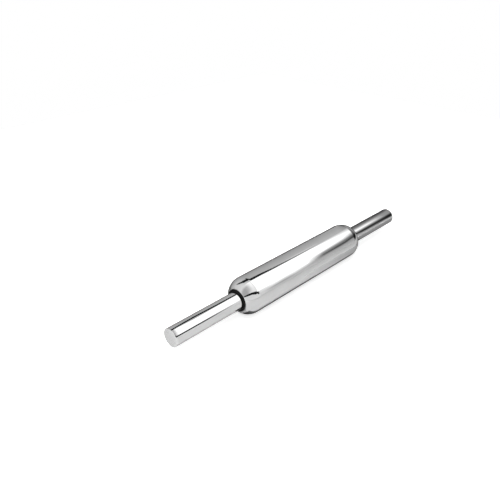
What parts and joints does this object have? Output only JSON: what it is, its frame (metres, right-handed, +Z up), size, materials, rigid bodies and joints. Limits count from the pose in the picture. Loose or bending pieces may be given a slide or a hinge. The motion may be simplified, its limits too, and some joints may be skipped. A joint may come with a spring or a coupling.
{
  "type": "rolling pin",
  "caption": "Polished stainless steel rolling pin: a hollow round-ended barrel that turns freely on a through axle, with a straight tubular handle at each end.",
  "frame": {"origin": "middle of the pin, on the axle's axis", "axes": "+X along the axle towards the right handle, +Z up with the pin lying on a table"},
  "size_m": [0.4, 0.0448, 0.0448],
  "materials": {
    "polished_steel": "mirror polished stainless steel",
    "satin_steel": "finely turned, satin stainless steel",
    "machined_steel": "plain machined steel",
    "black_nylon": "satin black nylon"
  },
  "bodies": {
    "handles": {"axle": "machined_steel", "left_thrust_washer": "machined_steel", "right_thrust_washer": "machined_steel", "left_handle_tube": "polished_steel", "right_handle_tube": "polished_steel", "left_handle_plug": "machined_steel", "right_handle_plug": "machined_steel", "left_lock_washer": "machined_steel", "right_lock_washer": "machined_steel", "left_lock_nut": "machined_steel", "right_lock_nut": "machined_steel", "left_end_cap": "satin_steel", "right_end_cap": "satin_steel"},
    "barrel": {"barrel_tube": "polished_steel", "left_end_dome": "polished_steel", "right_end_dome": "polished_steel", "left_bush": "black_nylon", "right_bush": "black_nylon"}
  },
  "joints": [
    {"name": "barrel_spin", "type": "hinge", "parent": "handles", "child": "barrel", "pos_m": [0, 0, 0], "axis": [1, 0, 0], "continuous": true}
  ]
}
